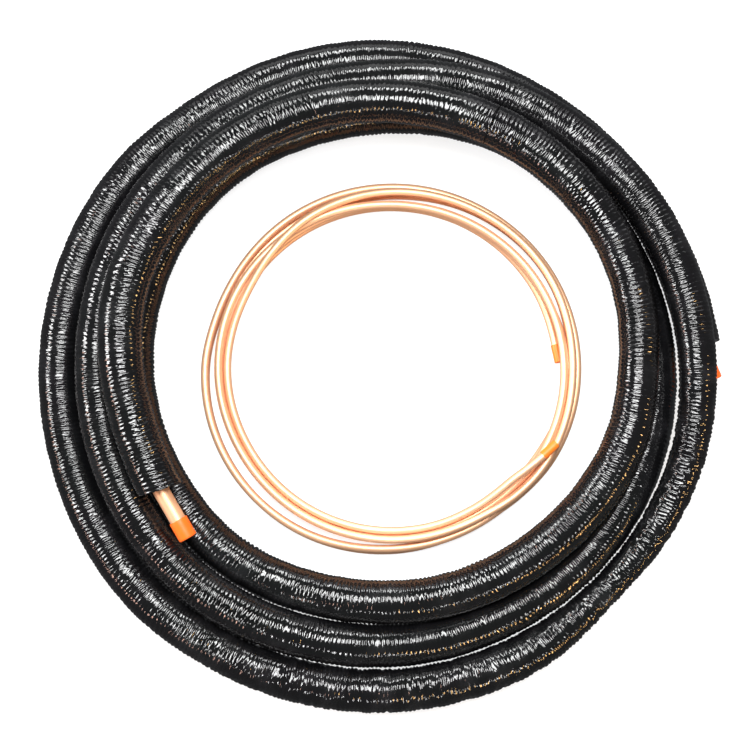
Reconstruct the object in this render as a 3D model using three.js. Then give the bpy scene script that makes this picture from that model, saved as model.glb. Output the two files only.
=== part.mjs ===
// Line set for a split air conditioner: an insulated copper suction line and a bare
// copper liquid line, each wound into a loose coil and lying flat, the small coil
// inside the big one. Millimetres, +Z up, origin under the middle of the whole set.

import * as THREE from 'three';

// Suction line: soft copper tube in a foam sleeve with a crinkled black film.
const suctionTubeOD = 19.05;
const suctionTubeWall = 1.07;
const sleeveOD = 51;
const sleeveFit = 0.3;
const suctionCoilRadius = 378;
const turnGap = 0.3;

// Bare tube that stands out of the sleeve at each end, up to the rim of its cap.
const outerEndBare = 22;
const innerEndBare = 40;
const outerEndSplay = THREE.MathUtils.degToRad(14);
const sleeveCutSlant = THREE.MathUtils.degToRad(12);

// Liquid line: bare soft copper tube.
const liquidTubeOD = 9.525;
const liquidTubeWall = 0.81;
const strandGap = 0.3;

// Room from the clear middle of the suction coil in to the mean turn of the liquid coil,
// and how far the liquid coil lies off the middle of the suction coil.
const coilRoom = 34;
const liquidCoilOffset = new THREE.Vector2(16, 10);

// Push-on vinyl caps on all four tube ends.
const capFit = 0.3;
const suctionCapLength = 24;
const suctionCapWall = 1.2;
const liquidCapLength = 22;
const liquidCapWall = 0.5;
const capRampAngle = 30;

// Flats on a round section, and the winding angle from one section to the next.
const sleeveSides = 12;
const tubeSides = 8;
const tubeBoreSides = 6;
const capSides = 24;
const suctionStep = 10;
const liquidStep = 12;

// Centre-to-centre distance of two turns that touch.
const turnPitch = sleeveOD + turnGap;
const strandPitch = liquidTubeOD + strandGap;

// Where the suction line runs. Each station is the winding angle in degrees, counted
// counter-clockwise from +X; how far outside the coil radius the line lies, in turn
// pitches; how high it is lifted off the floor, in turn pitches; and how full the
// sleeve is there, as a share of its diameter. The first turn is outermost, the second
// climbs over its end and the last one lies on top.
const suctionStations = [
  [5.5, 0.19, 0, 1], [30, 0.13, 0, 1], [45, 0.14, 0, 1], [60, 0.18, 0, 1],
  [75, 0.24, 0, 1], [90, 0.28, 0, 1], [105, 0.24, 0, 1], [125, 0.17, 0, 1],
  [140, 0.22, 0, 1], [165, 0.13, 0, 1], [195, 0.02, 0, 1], [225, 0, 0, 1],
  [240, -0.08, 0, 1], [285, -0.11, 0, 1], [300, -0.105, 0, 0.96], [316, -0.147, 0.06, 0.74],
  [330, -0.075, 0.33, 0.8], [345, -0.02, 0.68, 0.84], [358, -0.06, 0.96, 0.87],

  [375, -0.09, 1.02, 0.9], [390, -0.105, 1, 0.95], [405, -0.2, 0.97, 1],
  [420, -0.27, 0.93, 1], [435, -0.365, 0.87, 1], [450, -0.53, 0.89, 1],
  [465, -0.6, 0.91, 1], [480, -0.68, 0.93, 1], [495, -0.74, 0.93, 1],
  [510, -0.79, 0.9, 1], [525, -0.85, 0.84, 1], [540, -0.92, 0.79, 1],
  [555, -0.95, 0.67, 1], [570, -0.965, 0.5, 1], [585, -0.98, 0.36, 1],
  [600, -1.04, 0.31, 1], [615, -1.1, 0.2, 1], [630, -1.12, 0.06, 1],
  [645, -1.12, 0, 1], [660, -1.1, 0, 1], [675, -1.03, 0, 1], [690, -0.96, 0, 1],
  [705, -0.9, 0, 1],

  [720, -0.87, 0, 1], [750, -0.87, 0, 0.97], [765, -0.841, 0, 0.95], [780, -0.812, 0, 0.95],
  [795, -0.91, 0, 0.98], [810, -1.04, 0, 1], [825, -1.125, 0, 1], [840, -1.16, 0, 1],
  [855, -1.245, 0, 1], [870, -1.375, 0, 1], [885, -1.515, 0, 1], [900, -1.64, 0, 1],
  [915, -1.77, 0, 1], [930, -1.88, 0, 1], [945, -1.935, 0, 1], [960, -2.02, 0, 1],
  [975, -2.1, 0.1, 1], [990, -2.105, 0.3, 1], [1005, -2.04, 0.42, 1],
  [1020, -1.96, 0.56, 1], [1035, -1.84, 0.64, 1], [1050, -1.67, 0.74, 1],
  [1065, -1.49, 0.84, 1],

  [1080, -1.4, 0.88, 0.95], [1095, -1.25, 0.95, 0.93], [1110, -1.15, 1.06, 0.95],
  [1125, -1.15, 1.3, 0.96], [1140, -1.17, 1.39, 1], [1155, -1.2, 1.46, 1],
  [1170, -1.24, 1.6, 1], [1185, -1.27, 1.67, 1], [1200, -1.32, 1.72, 1],
  [1215, -1.36, 1.73, 1], [1230, -1.4, 1.72, 1.01], [1245, -1.45, 1.66, 1.02],
  [1260, -1.61, 1.53, 1.02], [1275, -1.745, 1.31, 1.02], [1290, -1.77, 1.12, 1.02],
];
const suctionStart = 5.5;
const suctionEnd = 1289.5;

// Where the liquid line runs, in strand pitches about its own coil radius. The first
// two turns lie on the floor, the next ones on top of them in two more layers, and the
// last turn crosses over the pile and ends on top.
const liquidStations = [
  [2, -0.5, 0], [9, -0.88, 0], [30, -0.85, 0], [90, -0.92, 0], [150, -0.8, 0],
  [180, -0.75, 0], [240, -0.97, 0], [300, -1.05, 0], [330, -0.5, 0], [345, 0.15, 0],

  [360, 0.67, 0], [390, 1.4, 0], [420, 1.1, 0], [450, 0.56, 0], [480, 0.5, 0],
  [510, 0.6, 0], [540, 1.4, 0], [570, 1.54, 0], [600, 1.34, 0], [630, 0.79, 0],
  [660, 0.22, 0], [675, 0.58, 0], [690, 1.14, 0.12], [705, 1.39, 0.6],

  [720, 1.48, 1], [750, 1.6, 1], [780, 1.5, 1], [810, 1.39, 1], [840, 1.22, 1],
  [870, 0.96, 1], [885, 1.06, 1], [900, 1.43, 1], [930, 1.56, 1], [960, 1.29, 1],
  [990, 0.63, 1], [1020, 0.36, 1], [1050, 0.36, 1],

  [1080, 0.4, 1], [1095, -0.1, 1], [1110, -0.55, 1], [1140, -0.86, 1],
  [1170, -0.98, 1], [1200, -0.81, 1], [1230, -0.6, 1], [1260, -0.48, 1],
  [1290, -0.74, 1], [1320, -0.82, 1], [1350, -0.81, 1], [1380, -0.76, 1.02],
  [1395, -0.62, 1.5], [1410, -0.31, 2],

  [1440, -0.27, 2], [1470, -0.53, 2], [1500, -0.91, 2], [1530, -1.05, 2],
  [1560, -0.66, 2], [1590, -0.28, 2], [1620, -0.27, 2], [1650, -0.45, 2],
  [1680, -0.44, 2], [1710, -0.4, 2], [1740, -0.22, 2], [1755, 0.34, 2],
  [1770, 0.74, 2],

  [1800, 0.78, 2], [1830, 1.09, 2], [1860, 0.86, 2], [1890, 0.55, 2],
  [1905, 0.12, 2.6], [1920, -0.39, 3], [1935, -1.05, 2.95], [1950, -1.45, 2.3],
  [1965, -1.43, 1.75], [1980, -1.37, 1.68], [2010, -1.52, 1.74], [2040, -1.5, 1.8],
  [2070, -1.47, 1.8], [2085, -1.45, 1.85], [2100, -1.5, 2.3], [2115, -1.36, 3.05],
  [2122, -0.84, 3.1], [2129, -0.09, 3.1], [2135, 0.54, 3.1],
];
const liquidStart = 8.5;
const liquidEnd = 2129;

const OFFSET = 1;
const LIFT = 2;
const GIRTH = 3;

// A station column read at any winding angle, as a smooth curve through the stations:
// a cubic between each two, with the slope at a station taken across its neighbours.
function read(stations, column, angle) {
  const last = stations.length - 1;
  let i = 0;
  while (i < last - 1 && angle > stations[i + 1][0]) i += 1;
  const slopeAt = (k) => {
    const before = stations[Math.max(k - 1, 0)];
    const after = stations[Math.min(k + 1, last)];
    return (after[column] - before[column]) / (after[0] - before[0]);
  };
  const span = stations[i + 1][0] - stations[i][0];
  const t = (angle - stations[i][0]) / span;
  const from = stations[i][column];
  const to = stations[i + 1][column];
  return from * (1 + 2 * t) * (1 - t) ** 2 + to * (3 - 2 * t) * t ** 2
    + span * t * (1 - t) * (slopeAt(i) * (1 - t) - slopeAt(i + 1) * t);
}

// The middle of a line at a winding angle, lying with its full girth above the floor.
// A line whose end lies on its cap ramps down from there to the floor.
function pointOn(line, angle) {
  const radius = line.radius + line.pitch * read(line.stations, OFFSET, angle);
  const ramp = Math.max(1 - (angle - line.start) / capRampAngle, 0);
  const lift = line.pitch * Math.max(read(line.stations, LIFT, angle), 0)
    + line.startRise * ramp ** 2;
  const turn = THREE.MathUtils.degToRad(angle);
  return new THREE.Vector3(
    line.centre.x + radius * Math.cos(turn),
    line.centre.y + radius * Math.sin(turn),
    line.diameter * line.girthAt(angle) / 2 + lift,
  );
}

// Winding angles of the sections: the start, each whole step between, and the end.
function sectionAngles({ start, end, step }) {
  const angles = [start];
  for (let k = Math.floor(start / step) + 1; k * step < end; k += 1) {
    angles.push(k * step);
  }
  angles.push(end);
  return angles;
}

// Section frames along a line: a straight run at the start, the turns, and a straight
// run at the end. Each holds its middle, the two axes of its section and its girth.
function framesOf(line) {
  const angles = sectionAngles(line);
  const middles = angles.map((angle) => pointOn(line, angle));
  const girths = angles.map((angle) => line.girthAt(angle));
  const nudge = 0.5;
  const startWay = pointOn(line, line.start).sub(pointOn(line, line.start + nudge)).normalize()
    .applyAxisAngle(new THREE.Vector3(0, 0, 1), line.startSplay);
  const endWay = pointOn(line, line.end).sub(pointOn(line, line.end - nudge)).normalize();
  const first = middles[0].clone().addScaledVector(startWay, line.startRun);
  const final = middles.at(-1).clone().addScaledVector(endWay, line.endRun);
  middles.unshift(first);
  middles.push(final);
  girths.unshift(1);
  girths.push(1);
  const up = new THREE.Vector3(0, 0, 1);
  const frames = middles.map((middle, i) => {
    const before = middles[Math.max(i - 1, 0)];
    const after = middles[Math.min(i + 1, middles.length - 1)];
    const along = after.clone().sub(before).normalize();
    const side = up.clone().cross(along).normalize();
    return { middle, side, up: along.clone().cross(side), along, girth: girths[i] };
  });
  return { frames, startWay, endWay };
}

// Corner points of a round section cut into flats, the first one to the side.
function roundPoints(radius, sides) {
  return Array.from({ length: sides }, (_, i) => {
    const turn = 2 * Math.PI * i / sides;
    return new THREE.Vector2(radius * Math.cos(turn), radius * Math.sin(turn));
  });
}

// A pipe through the given frames: a straight pipe with one step for each frame, bent
// so that its sections lie in those frames. `change` may move a corner first: it is told
// the frame's number and whether the corner is an outer one.
function bentPipe(frames, outer, bore, change = () => {}) {
  const shape = new THREE.Shape(roundPoints(outer.radius, outer.sides));
  shape.holes.push(new THREE.Path(roundPoints(bore.radius, bore.sides)));
  const steps = frames.length - 1;
  const pipe = new THREE.ExtrudeGeometry(shape, { depth: steps, steps, bevelEnabled: false });
  const wallMiddle = (outer.radius + bore.radius) / 2;
  const place = pipe.getAttribute('position');
  for (let i = 0; i < place.count; i += 1) {
    const index = Math.round(place.getZ(i));
    const corner = new THREE.Vector3(place.getX(i), place.getY(i), 0);
    change(corner, index, Math.hypot(corner.x, corner.y) > wallMiddle);
    const { middle, side, up, along } = frames[index];
    const point = middle.clone().addScaledVector(side, corner.x)
      .addScaledVector(up, corner.y).addScaledVector(along, corner.z);
    place.setXYZ(i, point.x, point.y, point.z);
  }
  pipe.computeVertexNormals();
  return pipe;
}

// A copper tube through the given frames.
function tubeGeometry(frames, tubeOD, wall) {
  const outside = { radius: tubeOD / 2, sides: tubeSides };
  const bore = { radius: tubeOD / 2 - wall, sides: tubeBoreSides };
  return bentPipe(frames, outside, bore);
}

// A push-on cap: a cup with a rounded shoulder, its rim at the origin, closed at +Y.
function capGeometry(tubeOD, wall, length) {
  const boreRadius = tubeOD / 2 + capFit;
  const radius = boreRadius + wall;
  const shoulder = 1.5 * wall;
  const profile = [
    new THREE.Vector2(0, length - wall),
    new THREE.Vector2(boreRadius, length - wall),
    new THREE.Vector2(boreRadius, 0),
    new THREE.Vector2(radius, 0),
    new THREE.Vector2(radius, length - shoulder),
    new THREE.Vector2(radius - shoulder, length),
    new THREE.Vector2(0, length),
  ];
  return new THREE.LatheGeometry(profile, capSides);
}

// How far a tube runs past the rim of its cap, to just short of the closed end.
const tubeInCap = (wall, length) => length - wall - capFit;

const copper = new THREE.MeshStandardMaterial({ color: 0xd98a5b, roughness: 0.3, metalness: 1 });
const film = new THREE.MeshStandardMaterial({ color: 0x0b0b0c, roughness: 0.35, metalness: 0 });
const vinyl = new THREE.MeshStandardMaterial({ color: 0xff6a1e, roughness: 0.45, metalness: 0 });

const lineSet = new THREE.Group();

function addMesh(name, geometry, material) {
  const mesh = new THREE.Mesh(geometry, material);
  mesh.name = name;
  lineSet.add(mesh);
  return mesh;
}

// The cap on a tube end, its rim a bare length from `from` along `way`.
function addCap(name, geometry, from, way, bare) {
  const cap = addMesh(name, geometry, vinyl);
  cap.position.copy(from).addScaledVector(way, bare);
  cap.quaternion.setFromUnitVectors(new THREE.Vector3(0, 1, 0), way);
}

function addSuctionLine() {
  const inCap = tubeInCap(suctionCapWall, suctionCapLength);
  const line = {
    stations: suctionStations,
    centre: new THREE.Vector2(0, 0),
    radius: suctionCoilRadius,
    pitch: turnPitch,
    diameter: sleeveOD,
    girthAt: (angle) => read(suctionStations, GIRTH, angle),
    start: suctionStart,
    end: suctionEnd,
    step: suctionStep,
    startSplay: outerEndSplay,
    startRise: 0,
    startRun: outerEndBare + inCap,
    endRun: innerEndBare + inCap,
  };
  const { frames, startWay, endWay } = framesOf(line);
  addMesh('suction_tube', tubeGeometry(frames, suctionTubeOD, suctionTubeWall), copper);

  const sleeveFrames = frames.slice(1, -1);
  const lastFrame = sleeveFrames.length - 1;
  const fillOut = (corner, index, isOuter) => {
    if (isOuter) corner.multiplyScalar(sleeveFrames[index].girth);
    if (index === lastFrame) corner.z = corner.x * Math.tan(sleeveCutSlant);
  };
  const sleeveOutside = { radius: sleeveOD / 2, sides: sleeveSides };
  const sleeveBore = { radius: suctionTubeOD / 2 + sleeveFit, sides: tubeSides };
  const sleeve = bentPipe(sleeveFrames, sleeveOutside, sleeveBore, fillOut);
  addMesh('suction_insulation', sleeve, film);

  const cap = capGeometry(suctionTubeOD, suctionCapWall, suctionCapLength);
  addCap('suction_cap_outer', cap, sleeveFrames[0].middle, startWay, outerEndBare);
  addCap('suction_cap_inner', cap, sleeveFrames[lastFrame].middle, endWay, innerEndBare);
}

function addLiquidLine() {
  const inCap = tubeInCap(liquidCapWall, liquidCapLength);
  const leastOffset = Math.min(...suctionStations.map((station) => station[OFFSET]));
  const clearRadius = suctionCoilRadius + leastOffset * turnPitch - sleeveOD / 2;
  const line = {
    stations: liquidStations,
    centre: liquidCoilOffset,
    radius: clearRadius - coilRoom,
    pitch: strandPitch,
    diameter: liquidTubeOD,
    girthAt: () => 1,
    start: liquidStart,
    end: liquidEnd,
    step: liquidStep,
    startSplay: 0,
    startRise: capFit + liquidCapWall,
    startRun: inCap,
    endRun: inCap,
  };
  const { frames, startWay, endWay } = framesOf(line);
  addMesh('liquid_tube', tubeGeometry(frames, liquidTubeOD, liquidTubeWall), copper);

  const cap = capGeometry(liquidTubeOD, liquidCapWall, liquidCapLength);
  addCap('liquid_cap_inner', cap, frames[1].middle, startWay, 0);
  addCap('liquid_cap_outer', cap, frames.at(-2).middle, endWay, 0);
}

addSuctionLine();
addLiquidLine();

// The set stands on the floor, with the origin under the middle of its outline.
const outline = new THREE.Box3().setFromObject(lineSet, true);
const middle = outline.getCenter(new THREE.Vector3());
lineSet.position.set(-middle.x, -middle.y, -outline.min.z);

export default lineSet;
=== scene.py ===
# %% [markdown]
# # A line set for a split air conditioner
# The real object is two soft copper tubes that are sold as one set. The thick suction
# line wears a foam sleeve under a crinkled black film and is wound a little over three
# and a half times round. The thin liquid line is bare and lies inside it as a small coil. All four
# tube ends are closed with orange vinyl caps. The solids that are loaded here hold the
# places and sizes, with few flats. This lesson makes every piece that shows again as a
# fine surface in the same place.

# %% Load the solids
import math

import bpy
import numpy as np
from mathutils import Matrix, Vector


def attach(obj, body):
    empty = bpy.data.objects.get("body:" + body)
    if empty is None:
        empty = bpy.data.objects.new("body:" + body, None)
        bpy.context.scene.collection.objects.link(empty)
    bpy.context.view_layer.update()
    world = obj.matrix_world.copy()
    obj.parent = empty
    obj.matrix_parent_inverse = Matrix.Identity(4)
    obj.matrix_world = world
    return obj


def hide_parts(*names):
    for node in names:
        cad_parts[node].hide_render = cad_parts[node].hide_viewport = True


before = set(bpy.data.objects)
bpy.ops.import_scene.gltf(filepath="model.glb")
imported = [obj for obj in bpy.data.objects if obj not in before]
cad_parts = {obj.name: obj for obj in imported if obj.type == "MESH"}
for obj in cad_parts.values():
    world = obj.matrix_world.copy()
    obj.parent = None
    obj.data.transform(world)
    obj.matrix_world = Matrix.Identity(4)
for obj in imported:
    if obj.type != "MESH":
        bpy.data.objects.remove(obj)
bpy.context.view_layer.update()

# %% [markdown]
# ## The camera
# The photograph looks down on the coils from a little in front of them, so the far side
# of every turn shows slightly more than the near side. A camera is placed by what it
# aims at, how high it stands and how far away it is. A long distance with a narrow field
# of view keeps the ring round.

# %% Look down on the set
AIM = Vector((-0.0058, -0.0062, 0.0))
CAMERA_DISTANCE = 1.9
CAMERA_ELEVATION = math.radians(82)
FIELD_OF_VIEW = 2 * math.atan(0.450 / 1.875)


def aim_at(thing, target):
    """Turns a camera or a light so that its -Z axis points at the target."""
    way = target - thing.location
    thing.rotation_euler = way.to_track_quat("-Z", "Y").to_euler()


camera = bpy.data.objects.new("camera", bpy.data.cameras.new("camera"))
bpy.context.scene.collection.objects.link(camera)
camera.data.angle = FIELD_OF_VIEW
back = Vector((0, -math.cos(CAMERA_ELEVATION), math.sin(CAMERA_ELEVATION)))
camera.location = AIM + CAMERA_DISTANCE * back
aim_at(camera, AIM)
bpy.context.scene.camera = camera
print("camera at", tuple(round(value, 3) for value in camera.location))

# %% [markdown]
# ## The light
# Glossy film shows lamps and walls more than it shows its own colour. A wide soft box
# overhead and behind lights the crowns of the turns, a long low wall of light behind
# the coil greys the flanks that face away, and the side towards the viewer stays dim,
# so the flanks there stay black. One small lamp in front gives the thin second row of
# glints, and two warm ones tint the glints at the lower right and at the left.

# %% Hang the lamps
LAMPS = [
    # name, place, width, height, power in watts, colour
    ("soft_box", (0.0, 0.35, 2.5), 1.6, 0.9, 90, (1.0, 1.0, 1.0)),
    ("back_box", (0.0, 2.2, 1.6), 1.6, 0.5, 45, (1.0, 1.0, 1.0)),
    ("left_box", (-2.2, 0.1, 1.3), 0.9, 0.7, 45, (1.0, 1.0, 1.0)),
    ("back_wall", (0.0, 3.4, 0.9), 6.0, 1.2, 22, (1.0, 1.0, 1.0)),
    ("front_spark", (0.5, -1.9, 1.25), 0.3, 0.3, 9, (1.0, 1.0, 1.0)),
    ("warm_right", (1.9, -1.6, 0.8), 0.4, 0.35, 20, (1.0, 0.60, 0.24)),
    ("warm_left", (-2.1, -0.9, 0.8), 0.35, 0.35, 8, (1.0, 0.62, 0.50)),
]


def hang_lamp(name, place, width, height, power, colour):
    """A rectangular lamp that faces the middle of the set."""
    lamp = bpy.data.objects.new(name, bpy.data.lights.new(name, "AREA"))
    bpy.context.scene.collection.objects.link(lamp)
    lamp.data.shape = "RECTANGLE"
    lamp.data.size = width
    lamp.data.size_y = height
    lamp.data.energy = power
    lamp.data.color = colour
    lamp.location = place
    aim_at(lamp, AIM)


for lamp in LAMPS:
    hang_lamp(*lamp)

world = bpy.data.worlds.new("pale_room")
world.use_nodes = True
world.node_tree.nodes["Background"].inputs["Color"].default_value = (0.9, 0.92, 0.95, 1)
world.node_tree.nodes["Background"].inputs["Strength"].default_value = 0.12
bpy.context.scene.world = world
bpy.context.scene.view_settings.view_transform = "Standard"
print(len(LAMPS), "lamps and a pale room")

# %% [markdown]
# ## Shader maths as Python
# A finish is a small program: coordinates go in, colour, roughness and bump come out.
# Written as nodes it is hard to read, so one small class wraps a socket and gives it
# the operators of arithmetic. Every other kind of node comes from one method, which
# sets the node's settings first and its inputs after them.

# %% A socket that adds its own maths
class Wire:
    """A socket of a finish's node tree. Arithmetic on it adds Math nodes."""

    def __init__(self, finish, socket):
        self.finish = finish
        self.socket = socket

    def maths(self, operation, *values):
        return self.finish.node("ShaderNodeMath", {"operation": operation}, dict(enumerate(values)))

    def __add__(self, other):
        return self.maths("ADD", self, other)

    def __radd__(self, other):
        return self.maths("ADD", other, self)

    def __sub__(self, other):
        return self.maths("SUBTRACT", self, other)

    def __mul__(self, other):
        return self.maths("MULTIPLY", self, other)

    def __rmul__(self, other):
        return self.maths("MULTIPLY", other, self)

    def __abs__(self):
        return self.maths("ABSOLUTE", self)

    def step(self, low, high):
        """0 below low, 1 above high, and a smooth rise between them."""
        settings = {"interpolation_type": "SMOOTHSTEP"}
        inputs = {"Value": self, "From Min": low, "From Max": high}
        return self.finish.node("ShaderNodeMapRange", settings, inputs)


class Finish:
    """A material with a Principled shader, and the one way to add nodes to it."""

    def __init__(self, name, **constants):
        self.material = bpy.data.materials.new(name)
        self.material.use_nodes = True
        self.tree = self.material.node_tree
        self.shader = self.tree.nodes["Principled BSDF"]
        for socket, value in constants.items():
            self.shader.inputs[socket.replace("_", " ")].default_value = value

    def node(self, kind, settings, inputs, output=0):
        """Adds a node: its settings first, then a value or a wire for each input."""
        node = self.tree.nodes.new(kind)
        for key, value in settings.items():
            setattr(node, key, value)
        for key, value in inputs.items():
            self.feed(node.inputs[key], value)
        return Wire(self, node.outputs[output])

    def feed(self, socket, value):
        if isinstance(value, Wire):
            self.tree.links.new(value.socket, socket)
        else:
            socket.default_value = value

    def set(self, **inputs):
        for socket, value in inputs.items():
            self.feed(self.shader.inputs[socket.replace("_", " ")], value)

    def object_place(self):
        return self.node("ShaderNodeTexCoord", {}, {}, "Object")

    def chart(self):
        """The piece's own chart: metres along the line and metres round it."""
        place = self.node("ShaderNodeUVMap", {"uv_map": "chart"}, {})
        split = self.tree.nodes.new("ShaderNodeSeparateXYZ")
        self.feed(split.inputs[0], place)
        return Wire(self, split.outputs[0]), Wire(self, split.outputs[1])

    def at(self, x, y):
        return self.node("ShaderNodeCombineXYZ", {}, {"X": x, "Y": y})

    def noise(self, place, scale, detail=2.0, roughness=0.5):
        inputs = {"Vector": place, "Scale": scale, "Detail": detail, "Roughness": roughness}
        return self.node("ShaderNodeTexNoise", {}, inputs)

    def blend(self, amount, first, second):
        """A colour that goes from the first to the second as the amount goes to 1."""
        inputs = {"Factor": amount, 6: first, 7: second}
        return self.node("ShaderNodeMix", {"data_type": "RGBA"}, inputs, 2)

    def bump(self, height, strength, distance):
        inputs = {"Height": height, "Strength": strength, "Distance": distance}
        return self.node("ShaderNodeBump", {}, inputs)


print("shader maths ready")

# %% [markdown]
# ## Where the lines run
# A hand-wound coil is nearly a spiral, but each turn wanders in and out and climbs over
# the ones below. Each line is a list of stations: the winding angle in degrees, how far
# out the line lies and how high it is lifted, both in pitches of touching turns, and for
# the sleeve how full it is there. A smooth cubic runs through them.

# %% The stations of the suction line
SLEEVE_DIAMETER = 0.051
TURN_PITCH = 0.0513
SUCTION_COIL_RADIUS = 0.378
SUCTION_MIDDLE = (-0.002463, -0.009833)
SUCTION_START, SUCTION_END = 5.5, 1289.5

SUCTION_STATIONS = np.array([
    (5.5, 0.19, 0, 1), (30, 0.13, 0, 1), (45, 0.14, 0, 1), (60, 0.18, 0, 1),
    (75, 0.24, 0, 1), (90, 0.28, 0, 1), (105, 0.24, 0, 1), (125, 0.17, 0, 1),
    (140, 0.22, 0, 1), (165, 0.13, 0, 1), (195, 0.02, 0, 1), (225, 0, 0, 1),
    (240, -0.08, 0, 1), (285, -0.11, 0, 1), (300, -0.105, 0, 0.96),
    (316, -0.147, 0.06, 0.74), (330, -0.075, 0.33, 0.8), (345, -0.02, 0.68, 0.84),
    (358, -0.06, 0.96, 0.87),

    (375, -0.09, 1.02, 0.9), (390, -0.105, 1, 0.95), (405, -0.2, 0.97, 1),
    (420, -0.27, 0.93, 1), (435, -0.365, 0.87, 1), (450, -0.53, 0.89, 1),
    (465, -0.6, 0.91, 1), (480, -0.68, 0.93, 1), (495, -0.74, 0.93, 1),
    (510, -0.79, 0.9, 1), (525, -0.85, 0.84, 1), (540, -0.92, 0.79, 1),
    (555, -0.95, 0.67, 1), (570, -0.965, 0.5, 1), (585, -0.98, 0.36, 1),
    (600, -1.04, 0.31, 1), (615, -1.1, 0.2, 1), (630, -1.12, 0.06, 1),
    (645, -1.12, 0, 1), (660, -1.1, 0, 1), (675, -1.03, 0, 1), (690, -0.96, 0, 1),
    (705, -0.9, 0, 1),

    (720, -0.87, 0, 1), (750, -0.87, 0, 0.97), (765, -0.841, 0, 0.95), (780, -0.812, 0, 0.95),
    (795, -0.91, 0, 0.98), (810, -1.04, 0, 1), (825, -1.125, 0, 1), (840, -1.16, 0, 1),
    (855, -1.245, 0, 1), (870, -1.375, 0, 1), (885, -1.515, 0, 1), (900, -1.64, 0, 1),
    (915, -1.77, 0, 1), (930, -1.88, 0, 1), (945, -1.935, 0, 1), (960, -2.02, 0, 1),
    (975, -2.1, 0.1, 1), (990, -2.105, 0.3, 1), (1005, -2.04, 0.42, 1),
    (1020, -1.96, 0.56, 1), (1035, -1.84, 0.64, 1), (1050, -1.67, 0.74, 1),
    (1065, -1.49, 0.84, 1),

    (1080, -1.4, 0.88, 0.95), (1095, -1.25, 0.95, 0.93), (1110, -1.15, 1.06, 0.95),
    (1125, -1.15, 1.3, 0.96), (1140, -1.17, 1.39, 1), (1155, -1.2, 1.46, 1),
    (1170, -1.24, 1.6, 1), (1185, -1.27, 1.67, 1), (1200, -1.32, 1.72, 1),
    (1215, -1.36, 1.73, 1), (1230, -1.4, 1.72, 1.01), (1245, -1.45, 1.66, 1.02),
    (1260, -1.61, 1.53, 1.02), (1275, -1.745, 1.31, 1.02), (1290, -1.77, 1.12, 1.02),
])

# %% The stations of the liquid line
LIQUID_DIAMETER = 0.009525
STRAND_PITCH = 0.009825
LIQUID_COIL_RADIUS = 0.210514
LIQUID_MIDDLE = (0.013537, 0.000167)
LIQUID_START, LIQUID_END = 8.5, 2129.0

LIQUID_STATIONS = np.array([
    (2, -0.5, 0), (9, -0.88, 0), (30, -0.85, 0), (90, -0.92, 0), (150, -0.8, 0),
    (180, -0.75, 0), (240, -0.97, 0), (300, -1.05, 0), (330, -0.5, 0), (345, 0.15, 0),

    (360, 0.67, 0), (390, 1.4, 0), (420, 1.1, 0), (450, 0.56, 0), (480, 0.5, 0),
    (510, 0.6, 0), (540, 1.4, 0), (570, 1.54, 0), (600, 1.34, 0), (630, 0.79, 0),
    (660, 0.22, 0), (675, 0.58, 0), (690, 1.14, 0.12), (705, 1.39, 0.6),

    (720, 1.48, 1), (750, 1.6, 1), (780, 1.5, 1), (810, 1.39, 1), (840, 1.22, 1),
    (870, 0.96, 1), (885, 1.06, 1), (900, 1.43, 1), (930, 1.56, 1), (960, 1.29, 1),
    (990, 0.63, 1), (1020, 0.36, 1), (1050, 0.36, 1),

    (1080, 0.4, 1), (1095, -0.1, 1), (1110, -0.55, 1), (1140, -0.86, 1),
    (1170, -0.98, 1), (1200, -0.81, 1), (1230, -0.6, 1), (1260, -0.48, 1),
    (1290, -0.74, 1), (1320, -0.82, 1), (1350, -0.81, 1), (1380, -0.76, 1.02),
    (1395, -0.62, 1.5), (1410, -0.31, 2),

    (1440, -0.27, 2), (1470, -0.53, 2), (1500, -0.91, 2), (1530, -1.05, 2),
    (1560, -0.66, 2), (1590, -0.28, 2), (1620, -0.27, 2), (1650, -0.45, 2),
    (1680, -0.44, 2), (1710, -0.4, 2), (1740, -0.22, 2), (1755, 0.34, 2),
    (1770, 0.74, 2),

    (1800, 0.78, 2), (1830, 1.09, 2), (1860, 0.86, 2), (1890, 0.55, 2),
    (1905, 0.12, 2.6), (1920, -0.39, 3), (1935, -1.05, 2.95), (1950, -1.45, 2.3),
    (1965, -1.43, 1.75), (1980, -1.37, 1.68), (2010, -1.52, 1.74), (2040, -1.5, 1.8),
    (2070, -1.47, 1.8), (2085, -1.45, 1.85), (2100, -1.5, 2.3), (2115, -1.36, 3.05),
    (2122, -0.84, 3.1), (2129, -0.09, 3.1), (2135, 0.54, 3.1),
])
OFFSET, LIFT, GIRTH = 1, 2, 3
print(len(SUCTION_STATIONS), "and", len(LIQUID_STATIONS), "stations")

# %% [markdown]
# ## From stations to a track
# A track is the middle of a line as closely spaced points, with the length at each. It
# is what a curve object would give, but as plain arrays it can be asked for its place
# and its axes at any length at once. The straight stubs at the ends are added to it.

# %% Lay out a track
CAP_FIT = 0.0003
SUCTION_CAP = {"length": 0.024, "wall": 0.0012, "tube": 0.01905}
LIQUID_CAP = {"length": 0.022, "wall": 0.0005, "tube": LIQUID_DIAMETER}
OUTER_BARE, INNER_BARE = 0.022, 0.040
OUTER_SPLAY = math.radians(14)
CAP_RAMP_ANGLE = 30.0
STUB_STEP = 0.0015


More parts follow.
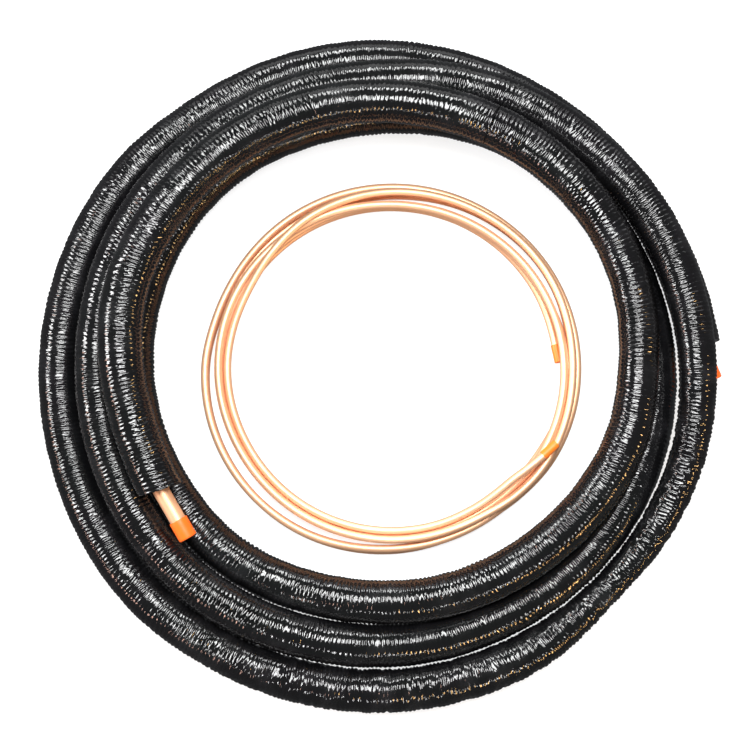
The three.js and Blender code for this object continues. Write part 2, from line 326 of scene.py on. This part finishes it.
def read(stations, column, angle):
    """Reads a column of the stations at any angles. Between two stations it is a cubic
    that passes through both, with the slope at a station taken across its neighbours."""
    knots, values = stations[:, 0], stations[:, column]
    slopes = np.empty(len(knots))
    slopes[1:-1] = (values[2:] - values[:-2]) / (knots[2:] - knots[:-2])
    slopes[0] = (values[1] - values[0]) / (knots[1] - knots[0])
    slopes[-1] = (values[-1] - values[-2]) / (knots[-1] - knots[-2])
    i = np.clip(np.searchsorted(knots, angle) - 1, 0, len(knots) - 2)
    span = knots[i + 1] - knots[i]
    t = (angle - knots[i]) / span
    through = values[i] * (1 + 2 * t) * (1 - t) ** 2 + values[i + 1] * (3 - 2 * t) * t ** 2
    return through + span * t * (1 - t) * (slopes[i] * (1 - t) - slopes[i + 1] * t)


def middles(line, angle):
    """Points of a line at winding angles. In plan the point is the coil's middle plus
    radius times (cos, sin) of the angle, where the radius is the coil's plus the offset
    in pitches. Its height is half the line's diameter plus the lift in pitches."""
    radius = line["radius"] + line["pitch"] * read(line["stations"], OFFSET, angle)
    ramp = np.maximum(1 - (angle - line["start"]) / CAP_RAMP_ANGLE, 0)
    lift = line["pitch"] * np.maximum(read(line["stations"], LIFT, angle), 0)
    turn = np.radians(angle)
    height = line["diameter"] * line["girth"](angle) / 2 + lift + line["rise"] * ramp ** 2
    x = line["middle"][0] + radius * np.cos(turn)
    y = line["middle"][1] + radius * np.sin(turn)
    return np.stack([x, y, height], axis=1)


def unit(vectors):
    return vectors / np.linalg.norm(vectors, axis=-1, keepdims=True)


def turned(way, angle):
    """A direction turned about the vertical axis."""
    cos, sin = math.cos(angle), math.sin(angle)
    return np.array([way[0] * cos - way[1] * sin, way[0] * sin + way[1] * cos, way[2]])


def lay_track(line, step):
    """The stub at the start, the turns and the stub at the end, as one row of points with
    the length at each. Lengths count from where the turns start."""
    angles = np.arange(line["start"], line["end"], step)
    angles = np.append(angles, line["end"])
    turns = middles(line, angles)
    start_way = turned(unit(turns[0] - turns[1]), line["splay"])
    end_way = unit(turns[-1] - turns[-2])
    first = np.arange(line["start_run"], 0, -STUB_STEP)[:, None] * start_way + turns[0]
    final = np.arange(STUB_STEP, line["end_run"], STUB_STEP)[:, None] * end_way + turns[-1]
    final = np.vstack([final, turns[-1] + line["end_run"] * end_way])
    points = np.vstack([first, turns, final])
    lengths = np.append(0, np.cumsum(np.linalg.norm(np.diff(points, axis=0), axis=1)))
    lengths -= lengths[len(first)]
    return {
        "points": points, "lengths": lengths, "turns_end": lengths[-len(final) - 1],
        "angles": np.interp(lengths, lengths[len(first):-len(final)], angles),
        "start": turns[0], "start_way": start_way, "end": turns[-1], "end_way": end_way,
    }


def axes_at(track, lengths):
    """Middles and axes at the given lengths: along the track, sideways to the middle of
    the coil, which is the level direction square to the track, and up."""
    places = [np.interp(lengths, track["lengths"], track["points"][:, k]) for k in range(3)]
    slopes = np.gradient(track["points"], axis=0)
    ways = [np.interp(lengths, track["lengths"], slopes[:, k]) for k in range(3)]
    middle, along = np.stack(places, axis=1), unit(np.stack(ways, axis=1))
    side = unit(np.cross((0.0, 0.0, 1.0), along))
    return middle, side, np.cross(along, side), along


def run_in_cap(cap):
    """How far a tube runs past the rim of its cap."""
    return cap["length"] - cap["wall"] - CAP_FIT


suction = {
    "stations": SUCTION_STATIONS, "middle": SUCTION_MIDDLE, "radius": SUCTION_COIL_RADIUS,
    "pitch": TURN_PITCH, "diameter": SLEEVE_DIAMETER, "start": SUCTION_START,
    "end": SUCTION_END, "splay": OUTER_SPLAY, "rise": 0.0,
    "girth": lambda angle: read(SUCTION_STATIONS, GIRTH, angle),
    "start_run": OUTER_BARE + run_in_cap(SUCTION_CAP),
    "end_run": INNER_BARE + run_in_cap(SUCTION_CAP),
}
liquid = {
    "stations": LIQUID_STATIONS, "middle": LIQUID_MIDDLE, "radius": LIQUID_COIL_RADIUS,
    "pitch": STRAND_PITCH, "diameter": LIQUID_DIAMETER, "start": LIQUID_START,
    "end": LIQUID_END, "splay": 0.0, "rise": CAP_FIT + LIQUID_CAP["wall"],
    "girth": lambda angle: 1.0,
    "start_run": run_in_cap(LIQUID_CAP), "end_run": run_in_cap(LIQUID_CAP),
}
suction_track = lay_track(suction, 0.25)
liquid_track = lay_track(liquid, 0.5)
print("suction line", round(suction_track["turns_end"], 3), "m in its turns")
print("liquid line", round(liquid_track["turns_end"], 3), "m in its turns")

# %% [markdown]
# ## From rings of points to a skin
# Every piece here is a row of rings. Neighbouring rings are joined by four-sided faces,
# and the whole is closed, either by joining the last ring to the first, as in a pipe
# with a wall, or by a point at each end, as in a cap. The rings are worked out as whole
# arrays, so no Python loop runs over the points.

# %% Skin a row of rings
def skin(name, rings, chart, finish, replaced, poles=False):
    """A closed mesh over rings of points. Corner j of ring i is joined to corner j + 1 and
    to ring i + 1. With poles, the first and last ring close on a point in their middle.
    The chart holds metres along the line for each ring, and metres round it."""
    count, sides, _ = rings.shape
    i = np.arange(count - 1 if poles else count)[:, None]
    j = np.arange(sides)[None, :]
    after = (i + 1) % count
    corners = [i * sides + j, i * sides + (j + 1) % sides,
               after * sides + (j + 1) % sides, after * sides + j]
    faces = np.stack([np.broadcast_to(c, (len(i), sides)) for c in corners], axis=-1)
    along, around = chart
    round_step = around / sides
    far = along[after] + 0 * j
    near = along[i] + 0 * j
    left = (j * round_step) + 0 * i
    right = left + round_step
    places = np.stack([near, left, near, right, far, right, far, left], axis=-1)
    points = rings.reshape(-1, 3)
    face_list = faces.reshape(-1, 4).tolist()
    places = places.reshape(-1, 2)
    if poles:
        ends = np.stack([rings[0].mean(axis=0), rings[-1].mean(axis=0)])
        points = np.vstack([points, ends])
        j = np.arange(sides)
        following = (j + 1) % sides
        last = (count - 1) * sides
        low = np.stack([np.full(sides, count * sides), following, j], axis=-1)
        high = np.stack([last + j, last + following, np.full(sides, count * sides + 1)], axis=-1)
        face_list += low.tolist() + high.tolist()
        places = np.vstack([places, np.zeros((6 * sides, 2))])
    mesh = bpy.data.meshes.new(name)
    mesh.from_pydata(points, [], face_list)
    layer = mesh.uv_layers.new(name="chart")
    layer.data.foreach_set("uv", places.astype(np.float32).ravel())
    mesh.polygons.foreach_set("use_smooth", np.ones(len(face_list), dtype=bool))
    mesh.update()
    piece = bpy.data.objects.new(name, mesh)
    bpy.context.scene.collection.objects.link(piece)
    mesh.materials.append(finish.material)
    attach(piece, "root")
    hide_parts(replaced)
    print(name, "has", len(face_list), "faces")


def sweep(axes, across, upward, forward=0.0):
    """Rings along a track: each point is the ring's middle plus its distances sideways,
    upward and forward along the ring's own axes."""
    middle, side, up, along = (axis[:, None, :] for axis in axes)
    forward = np.broadcast_to(forward, across.shape)
    return middle + side * across[..., None] + up * upward[..., None] + along * forward[..., None]


# %% [markdown]
# ## The crinkled film
# The sleeve's foam is wrapped in thin black film. Bending the line into a coil squeezes
# the film on the inner side of the bend into fine folds about five millimetres apart,
# which fork and fade out towards the outer side, where it is stretched. The folds are
# modelled, because they break up the outline and catch the light as rows of short
# dashes. The height of the film is a formula of the length along the line and the turn
# round it, so it can be worked out for a quarter of a million points at once.

# %% The height of the folds
FOLD_PITCHES = (0.0054, 0.0047)
FOLD_WANDER = 0.3
FOLD_DEPTH_INNER = 0.0019
FOLD_DEPTH_OUTER = 0.0015
COARSE_PITCH = 0.019
COARSE_DEPTH = 0.0014
COARSE_STRETCH = (235.0, 350.0)
COARSE_SLANT = 0.35
COARSE_WANDER = 0.4
DENT_DEPTH = 0.0005


def waves(length, turn, short, long, seed, parts=6):
    """A smooth random field: a sum of sine waves whose lengths lie between short and
    long, each winding a whole number of times round the line, so it closes on itself."""
    draw = np.random.default_rng(seed)
    total = 0
    for _ in range(parts):
        pitch = draw.uniform(short, long)
        winding = draw.integers(-3, 4)
        phase = draw.uniform(0, 2 * np.pi)
        total = total + np.sin(2 * np.pi * length / pitch + winding * turn + phase)
    return total / math.sqrt(parts / 2)


def rise(value, low, high):
    """0 below low, 1 above high and a smooth rise between them."""
    t = np.clip((value - low) / (high - low), 0, 1)
    return t * t * (3 - 2 * t)


def pillows(count):
    """A row of pillows: the size of a sine to the power 0.8, with a sharp crease (0) at
    every whole count and a round crest (1) between."""
    return np.abs(np.sin(np.pi * count)) ** 0.8


def film_drop(length, turn, angle):
    """How far the film lies below its fullest size. Two trains of pillows with slightly
    different pitches, each bent by a smooth field, take turns along and round the
    sleeve, so folds fork where one gives way to the other. They are deepest at turn 0,
    the inner side of the bend. One stretch of the first turn has slanting coarse folds."""
    first = pillows(length / FOLD_PITCHES[0] + FOLD_WANDER * waves(length, turn, 0.03, 0.12, 1))
    second = pillows(length / FOLD_PITCHES[1] + FOLD_WANDER * waves(length, turn, 0.03, 0.12, 2))
    turns_taken = rise(waves(length, turn, 0.02, 0.09, 3), -0.35, 0.35)
    folds = 1 - first * turns_taken - second * (1 - turns_taken)
    squeezed = (1 + np.cos(turn)) / 2
    depth = FOLD_DEPTH_OUTER + (FOLD_DEPTH_INNER - FOLD_DEPTH_OUTER) * squeezed
    depth = depth * (0.85 + 0.2 * waves(length, turn, 0.05, 0.3, 4))
    bent = COARSE_SLANT * turn + COARSE_WANDER * waves(length, turn, 0.06, 0.2, 5)
    coarse = pillows(length / COARSE_PITCH + bent)
    lower, upper = COARSE_STRETCH
    in_stretch = rise(angle, lower - 15, lower + 10) * rise(-angle, -upper - 15, -upper)
    dents = 0.5 + 0.35 * waves(length, turn, 0.02, 0.06, 6)
    return (np.maximum(depth, 0) * folds + COARSE_DEPTH * in_stretch * (1 - coarse)
            + DENT_DEPTH * np.clip(dents, 0, 1))


# %% [markdown]
# ## The sleeve
# Such a sleeve is pushed on in lengths that butt against each other, and two of the
# joints show as deep creases. So the skin is made in four lengths, each a closed pipe:
# out along the film, over the rolled edge, across the cut foam and back along the bore.
# At the free end on top the foam is cut at a slant.

# %% Make one length of sleeve
SLEEVE_SIDES = 36
FILM_STEP = 0.00102
SQUEEZE = 0.0010
BORE_STEP = 0.03
BORE_RADIUS = SUCTION_CAP["tube"] / 2 + 0.0003
ROLL = 0.0016
ROLL_STEPS = 5
JOINT_GAP = 0.0002
CUT_SLANT = math.radians(12)
SLANT_REACH = 0.045


def sleeve_length(name, start, end, finish):
    """One closed length of sleeve from one length along the line to another. The radius
    is half the diameter times how full the sleeve is, less the drop of the film. Towards
    the coil's middle it is a little more, because the turns press on each other there.
    The film rolls in by a quarter circle at both ends."""
    turn = -np.pi / 2 + 2 * np.pi * np.arange(SLEEVE_SIDES) / SLEEVE_SIDES
    film = np.linspace(start + ROLL, end - ROLL, int((end - start) / FILM_STEP))
    curl = np.linspace(0, np.pi / 2, ROLL_STEPS)
    lead_in = start + ROLL * (1 - np.cos(curl[:-1]))
    lead_out = end - ROLL * (1 - np.cos(curl[-2::-1]))
    bore = np.arange(end - BORE_STEP, start + BORE_STEP, -BORE_STEP)
    length = np.concatenate([lead_in, film, lead_out, [end, end], bore, [start, start]])
    angle = np.interp(length, suction_track["lengths"], suction_track["angles"])
    rows, columns = length[:, None], turn[None, :]
    outer = SLEEVE_DIAMETER / 2 * suction["girth"](angle)[:, None]
    outer = outer + SQUEEZE * np.maximum(np.cos(columns), 0)
    outer = outer - film_drop(rows, columns, angle[:, None])
    inward = np.zeros(len(length))
    inward[:ROLL_STEPS - 1] = ROLL * (1 - np.sin(curl[:-1]))
    edge = ROLL_STEPS - 1 + len(film)
    inward[edge:edge + ROLL_STEPS - 1] = ROLL * (1 - np.sin(curl[-2::-1]))
    radius = outer - inward[:, None]
    face = edge + ROLL_STEPS - 1
    radius[face] = (radius[face - 1] + BORE_RADIUS) / 2
    radius[face + 1:-1] = BORE_RADIUS
    radius[-1] = (radius[0] + BORE_RADIUS) / 2
    across, upward = radius * np.cos(columns), radius * np.sin(columns)
    slant = rise(length, suction_track["turns_end"] - SLANT_REACH, suction_track["turns_end"])
    forward = across * math.tan(CUT_SLANT) * slant[:, None]
    rings = sweep(axes_at(suction_track, length), across, upward, forward)
    chart = (length, np.pi * SLEEVE_DIAMETER)
    skin(name, rings, chart, finish, "suction_insulation")


# %% [markdown]
# ## The film's finish
# The film is nearly black plastic with a sharp gloss, a little duller in soft clouds.
# Finer crinkles and wandering creases run over the modelled folds as bump.

# %% Black film
CRINKLE_ALONG = 420.0
CRINKLE_ROUND = 90.0
CRINKLE_SHARE = 0.2
WORM_ALONG = 170.0
WORM_ROUND = 35.0
WORM_HALF_WIDTH = 0.09
FILM_BUMP_STRENGTH = 0.3
FILM_BUMP_HEIGHT = 0.0006


def black_film():
    """Crinkles: noise stretched round the sleeve, four to five times as long that way as
    along it. Worms: the size of a second noise about its middle value, which is zero
    along wandering lines and so gives sharp creases there. Gloss: roughness rises and
    falls over a few centimetres."""
    film = Finish("black_film", IOR=1.6)
    along, around = film.chart()
    crinkles = film.noise(film.at(along * CRINKLE_ALONG, around * CRINKLE_ROUND), 1.0, 3.0, 0.6)
    wander = film.noise(film.at(along * WORM_ALONG, around * WORM_ROUND), 1.0, 2.0, 0.55)
    worms = abs(wander - 0.5).step(0.0, WORM_HALF_WIDTH)
    clouds = film.noise(film.object_place(), 35.0, 3.0)
    dusty = clouds.step(0.45, 0.75)
    film.set(
        Base_Color=film.blend(dusty, (0.004, 0.004, 0.0045, 1), (0.009, 0.009, 0.010, 1)),
        Roughness=0.11 + 0.07 * dusty,
        Normal=film.bump(CRINKLE_SHARE * crinkles + worms, FILM_BUMP_STRENGTH,
                         FILM_BUMP_HEIGHT),
    )
    return film


film = black_film()
joint_angles = (345.0, 780.0, 1145.0)
joints = np.interp(joint_angles, suction_track["angles"], suction_track["lengths"])
ends = np.concatenate([[0.0], joints, [suction_track["turns_end"]]])
for number, (start, end) in enumerate(zip(ends[:-1], ends[1:]), 1):
    close = end if number == len(joints) + 1 else end - JOINT_GAP
    sleeve_length(f"sleeve_{number}", start, close, film)

# %% [markdown]
# ## Copper
# New soft copper is bright pink-orange with a faint drawn grain along the tube and small
# clouds where it has been handled. The finish stays simple: a warm colour, a roughness
# that varies and a very fine grain. Real copper is all metal, but here it is partly
# matte, which gives the soft, pale look of the photograph under this light.

# %% Bright copper
def bright_copper():
    """Two tones of copper blended by soft clouds, with streaks along the tube."""
    copper = Finish("bright_copper", Metallic=0.6)
    along, around = copper.chart()
    streaks = copper.noise(copper.at(along * 12.0, around * 1800.0), 1.0, 2.0)
    clouds = copper.noise(copper.object_place(), 28.0, 3.0)
    copper.set(
        Base_Color=copper.blend(clouds, (0.98, 0.60, 0.37, 1), (0.92, 0.50, 0.28, 1)),
        Roughness=0.38 + 0.1 * clouds + 0.06 * streaks,
        Normal=copper.bump(streaks, 0.12, 0.0002),
    )
    return copper


copper = bright_copper()

# %% Draw a copper tube
SUCTION_TUBE_WALL = 0.00107
LIQUID_TUBE_WALL = 0.00081
NEAR_END = 0.12


def copper_tube(name, track, diameter, wall, step, end_step, sides, replaced):
    """A closed pipe along a track: out along the outside, across the cut end, back
    through the bore. Its rings are close together at both ends and wider between."""
    low, high = track["lengths"][0], track["lengths"][-1]
    outside = np.concatenate([
        np.arange(low, low + NEAR_END, end_step),
        np.arange(low + NEAR_END, high - NEAR_END, step),
        np.arange(high - NEAR_END, high, end_step), [high],
    ])
    length = np.concatenate([outside, outside[::-1]])
    turn = -np.pi / 2 + 2 * np.pi * np.arange(sides) / sides
    radius = np.where(np.arange(len(length)) < len(outside), diameter / 2, diameter / 2 - wall)
    across = radius[:, None] * np.cos(turn)[None, :]
    upward = radius[:, None] * np.sin(turn)[None, :]
    rings = sweep(axes_at(track, length), across, upward)
    chart = (length, np.pi * diameter)
    skin(name, rings, chart, copper, replaced)


copper_tube("suction_pipe", suction_track, SUCTION_CAP["tube"], SUCTION_TUBE_WALL,
            0.02, 0.004, 32, "suction_tube")
copper_tube("liquid_pipe", liquid_track, LIQUID_DIAMETER, LIQUID_TUBE_WALL,
            0.008, 0.004, 20, "liquid_tube")

# %% [markdown]
# ## The caps
# A push-on cap is a soft vinyl cup, dipped or moulded, with a rounded rim, a soft corner
# and a nearly flat end. It is a profile carried round an axis.

# %% Turn the caps
CAP_SIDES = 40
CORNER_STEPS = 6


def orange_vinyl(name, colour, deep):
    """Soft vinyl: slightly uneven colour, a fine matte grain and a soft gloss."""
    vinyl = Finish(name, Roughness=0.42, IOR=1.48)
    clouds = vinyl.noise(vinyl.object_place(), 90.0, 2.0)
    grain = vinyl.noise(vinyl.object_place(), 1600.0, 2.0)
    vinyl.set(
        Base_Color=vinyl.blend(clouds, colour, deep),
        Roughness=0.36 + 0.14 * clouds,
        Normal=vinyl.bump(grain, 0.15, 0.0002),
    )
    return vinyl


def cap_profile(cap):
    """Distance from the axis and distance from the rim, from the middle of the inner end,
    along the bore, round the rim, along the outside and round the corner to the end."""
    bore = cap["tube"] / 2 + CAP_FIT
    radius = bore + cap["wall"]
    corner = 1.6 * cap["wall"]
    curl = np.linspace(0, np.pi / 2, CORNER_STEPS)
    rim = cap["wall"] / 2
    half = np.linspace(0, np.pi, 2 * CORNER_STEPS)
    inner_end = cap["length"] - cap["wall"]
    out = [0.5 * bore, bore - 0.0004, bore, bore]
    far = [inner_end, inner_end, inner_end - 0.0004, inner_end / 2]
    out += list(bore + rim - rim * np.cos(half)) + [radius, radius - 0.0001]
    far += list(rim - rim * np.sin(half)) + [cap["length"] * 0.3, cap["length"] * 0.6]
    out += list(radius - corner + corner * np.cos(curl)) + [0.7 * radius, 0.35 * radius]
    far += list(cap["length"] - corner + corner * np.sin(curl)) + [cap["length"]] * 2
    return np.array(out), np.array(far)


def push_cap(name, cap, rim, way, finish):
    """A cap with its rim at a point and its closed end along a direction."""
    out, far = cap_profile(cap)
    side = unit(np.cross((0.0, 0.0, 1.0), way))
    up = np.cross(way, side)
    turn = 2 * np.pi * np.arange(CAP_SIDES) / CAP_SIDES
    spoke = np.cos(turn)[:, None] * side + np.sin(turn)[:, None] * up
    rings = rim + out[:, None, None] * spoke + far[:, None, None] * way
    chart = (far, np.pi * cap["tube"])
    skin(name + "_vinyl", rings, chart, finish, name, poles=True)


big_vinyl = orange_vinyl("orange_vinyl", (1.0, 0.16, 0.010, 1), (0.93, 0.13, 0.008, 1))
small_vinyl = orange_vinyl("light_orange_vinyl", (1.0, 0.24, 0.02, 1), (0.95, 0.2, 0.015, 1))
track = suction_track
push_cap("suction_cap_outer", SUCTION_CAP, track["start"] + OUTER_BARE * track["start_way"],
         track["start_way"], big_vinyl)
push_cap("suction_cap_inner", SUCTION_CAP, track["end"] + INNER_BARE * track["end_way"],
         track["end_way"], big_vinyl)
track = liquid_track
push_cap("liquid_cap_inner", LIQUID_CAP, track["start"], track["start_way"], small_vinyl)
push_cap("liquid_cap_outer", LIQUID_CAP, track["end"], track["end_way"], small_vinyl)

# %% [markdown]
# ## The floor
# The photograph has a plain white ground that throws hardly any shadow. A pale sheet
# that also glows softly gives that. The black film shows no reflection of it, so the
# sheet is left out of what glossy things mirror.

# %% Lay the floor
FLOOR_HALF = 8.0
floor_mesh = bpy.data.meshes.new("floor")
floor_mesh.from_pydata(
    [(-FLOOR_HALF, -FLOOR_HALF, 0), (FLOOR_HALF, -FLOOR_HALF, 0),
     (FLOOR_HALF, FLOOR_HALF, 0), (-FLOOR_HALF, FLOOR_HALF, 0)], [], [(0, 1, 2, 3)])
floor = bpy.data.objects.new("floor", floor_mesh)
bpy.context.scene.collection.objects.link(floor)
paper = Finish("pale_paper", Base_Color=(0.35, 0.35, 0.35, 1), Roughness=1.0,
               Emission_Color=(1, 1, 1, 1), Emission_Strength=0.8)
floor_mesh.materials.append(paper.material)
floor.visible_glossy = False
print("floor laid")
